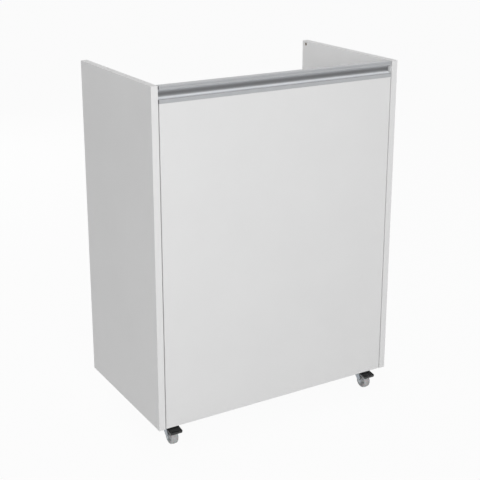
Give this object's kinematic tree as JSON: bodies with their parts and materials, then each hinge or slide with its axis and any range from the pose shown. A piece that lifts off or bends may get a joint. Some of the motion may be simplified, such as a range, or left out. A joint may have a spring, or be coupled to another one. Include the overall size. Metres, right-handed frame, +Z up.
{
  "type": "rolling pedestal cabinet",
  "caption": "White rolling cabinet with an open top, an inset hinged front with an aluminium finger-pull profile, a shelf inside and braked swivel castors.",
  "frame": {"origin": "on the floor under the centre of the cabinet's outline", "axes": "+Z up, -Y out of the front, +X to the right seen from the front"},
  "size_m": [0.6, 0.35, 0.792],
  "materials": {
    "white_board": "white melamine face, satin",
    "white_hardboard": "white lacquered face, matt",
    "profile_aluminium": "satin anodised",
    "zinc_steel": "zinc plated",
    "zinc_cast": "die cast, matt",
    "nickel_steel": "nickel plated",
    "bearing_steel": "polished",
    "beech": "plain, fluted",
    "white_plastic": "moulded",
    "magnet": "sintered ferrite",
    "grey_plastic": "moulded",
    "grey_tyre": "soft, translucent grey",
    "black_plastic": "moulded, fine grain"
  },
  "bodies": {
    "cabinet": {"side_left": "white_board", "side_right": "white_board", "bottom_panel": "white_board", "rear_rail": "white_board", "shelf": "white_board", "back_panel": "white_hardboard", "back_tacks": "zinc_steel", "cam_locks": "zinc_cast", "cam_bolts": "zinc_steel", "dowels": "beech", "shelf_pins": "zinc_steel", "door_stop": "white_plastic", "catch_housing": "white_plastic", "catch_magnet": "magnet", "catch_screws": "zinc_steel", "hinge_plate_screws": "zinc_steel", "hinge_arm_screws": "zinc_steel", "castor_kingpins": "zinc_steel", "swivel_balls": "bearing_steel", "castor_screws": "zinc_steel", "hinge_arm_lower": "nickel_steel", "hinge_plate_lower": "nickel_steel", "hinge_arm_upper": "nickel_steel", "hinge_plate_upper": "nickel_steel", "castor_plate_front_left": "zinc_steel", "castor_plate_front_right": "zinc_steel", "castor_plate_rear_left": "zinc_steel", "castor_plate_rear_right": "zinc_steel"},
    "door": {"door_panel": "white_board", "handle_profile": "profile_aluminium", "strike_plate": "zinc_steel", "strike_screws": "zinc_steel", "hinge_cup_screws": "zinc_steel", "hinge_cup_lower": "nickel_steel", "hinge_pin_lower": "bearing_steel", "hinge_cup_upper": "nickel_steel", "hinge_pin_upper": "bearing_steel"},
    "swivel_front_left": {"castor_fork_front_left": "zinc_steel", "castor_axle_front_left": "zinc_steel", "brake_pin_front_left": "zinc_steel"},
    "wheel_front_left": {"castor_wheel_front_left": "grey_plastic", "castor_tyre_front_left": "grey_tyre"},
    "swivel_front_right": {"castor_fork_front_right": "zinc_steel", "castor_axle_front_right": "zinc_steel", "brake_pin_front_right": "zinc_steel"},
    "wheel_front_right": {"castor_wheel_front_right": "grey_plastic", "castor_tyre_front_right": "grey_tyre"},
    "swivel_rear_left": {"castor_fork_rear_left": "zinc_steel", "castor_axle_rear_left": "zinc_steel"},
    "wheel_rear_left": {"castor_wheel_rear_left": "grey_plastic", "castor_tyre_rear_left": "grey_tyre"},
    "swivel_rear_right": {"castor_fork_rear_right": "zinc_steel", "castor_axle_rear_right": "zinc_steel"},
    "wheel_rear_right": {"castor_wheel_rear_right": "grey_plastic", "castor_tyre_rear_right": "grey_tyre"},
    "pedal_front_left": {"brake_lever_front_left": "zinc_steel", "brake_pedal_front_left": "black_plastic"},
    "pedal_front_right": {"brake_lever_front_right": "zinc_steel", "brake_pedal_front_right": "black_plastic"}
  },
  "joints": [
    {"name": "door_hinge", "type": "hinge", "parent": "cabinet", "child": "door", "pos_m": [0.26742, -0.168, 0.422], "axis": [0, 0, 1], "range_deg": [0, 105]},
    {"name": "swivel_front_left", "type": "hinge", "parent": "cabinet", "child": "swivel_front_left", "pos_m": [-0.258, -0.129, 0.044], "axis": [0, 0, 1], "continuous": true},
    {"name": "wheel_front_left", "type": "hinge", "parent": "swivel_front_left", "child": "wheel_front_left", "pos_m": [-0.258, -0.15, 0.0175], "axis": [1, 0, 0], "continuous": true},
    {"name": "pedal_front_left", "type": "hinge", "parent": "swivel_front_left", "child": "pedal_front_left", "pos_m": [-0.258, -0.136, 0.0375], "axis": [1, 0, 0], "range_deg": [0, 6]},
    {"name": "swivel_front_right", "type": "hinge", "parent": "cabinet", "child": "swivel_front_right", "pos_m": [0.258, -0.129, 0.044], "axis": [0, 0, 1], "continuous": true},
    {"name": "wheel_front_right", "type": "hinge", "parent": "swivel_front_right", "child": "wheel_front_right", "pos_m": [0.258, -0.15, 0.0175], "axis": [1, 0, 0], "continuous": true},
    {"name": "pedal_front_right", "type": "hinge", "parent": "swivel_front_right", "child": "pedal_front_right", "pos_m": [0.258, -0.136, 0.0375], "axis": [1, 0, 0], "range_deg": [0, 6]},
    {"name": "swivel_rear_left", "type": "hinge", "parent": "cabinet", "child": "swivel_rear_left", "pos_m": [-0.242, 0.129, 0.044], "axis": [0, 0, 1], "continuous": true},
    {"name": "wheel_rear_left", "type": "hinge", "parent": "swivel_rear_left", "child": "wheel_rear_left", "pos_m": [-0.242, 0.108, 0.0175], "axis": [1, 0, 0], "continuous": true},
    {"name": "swivel_rear_right", "type": "hinge", "parent": "cabinet", "child": "swivel_rear_right", "pos_m": [0.242, 0.129, 0.044], "axis": [0, 0, 1], "continuous": true},
    {"name": "wheel_rear_right", "type": "hinge", "parent": "swivel_rear_right", "child": "wheel_rear_right", "pos_m": [0.242, 0.108, 0.0175], "axis": [1, 0, 0], "continuous": true}
  ]
}
